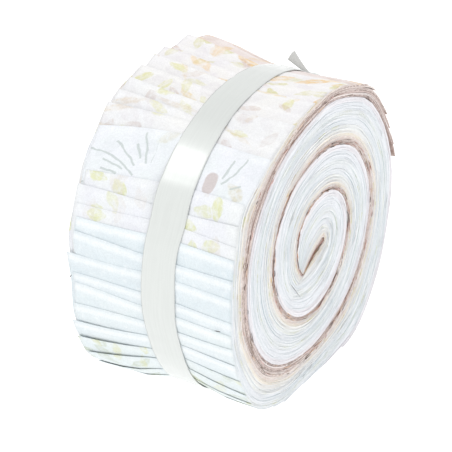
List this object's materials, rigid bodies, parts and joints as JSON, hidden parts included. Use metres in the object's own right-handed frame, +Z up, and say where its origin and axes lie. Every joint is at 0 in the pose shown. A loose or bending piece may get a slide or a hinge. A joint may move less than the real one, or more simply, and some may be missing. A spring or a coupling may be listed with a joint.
{
  "type": "rolled quilting fabric strips tied with a ribbon",
  "caption": "Cotton strips folded in half, stacked and wound into a fat roll with stepped folds, tied round the middle with a satin ribbon.",
  "frame": {"origin": "on the resting surface, under the middle of the roll", "axes": "+X along the roll's axis, out of its shown end; +Z up"},
  "size_m": [0.0636, 0.1156, 0.1086],
  "materials": {
    "strip_pale": "woven cotton, matt",
    "strip_cream": "woven cotton, matt",
    "strip_brown": "woven cotton, matt",
    "ribbon_satin": "satin, soft sheen"
  },
  "bodies": {
    "root": {"roll_body": "strip_pale", "loose_fold_1": "strip_cream", "loose_fold_2": "strip_cream", "loose_fold_3": "strip_cream", "loose_fold_4": "strip_cream", "loose_fold_5": "strip_cream", "last_fold": "strip_brown", "ribbon_band": "ribbon_satin", "ribbon_knot": "ribbon_satin", "ribbon_tail_long": "ribbon_satin", "ribbon_tail_short": "ribbon_satin"}
  },
  "joints": []
}
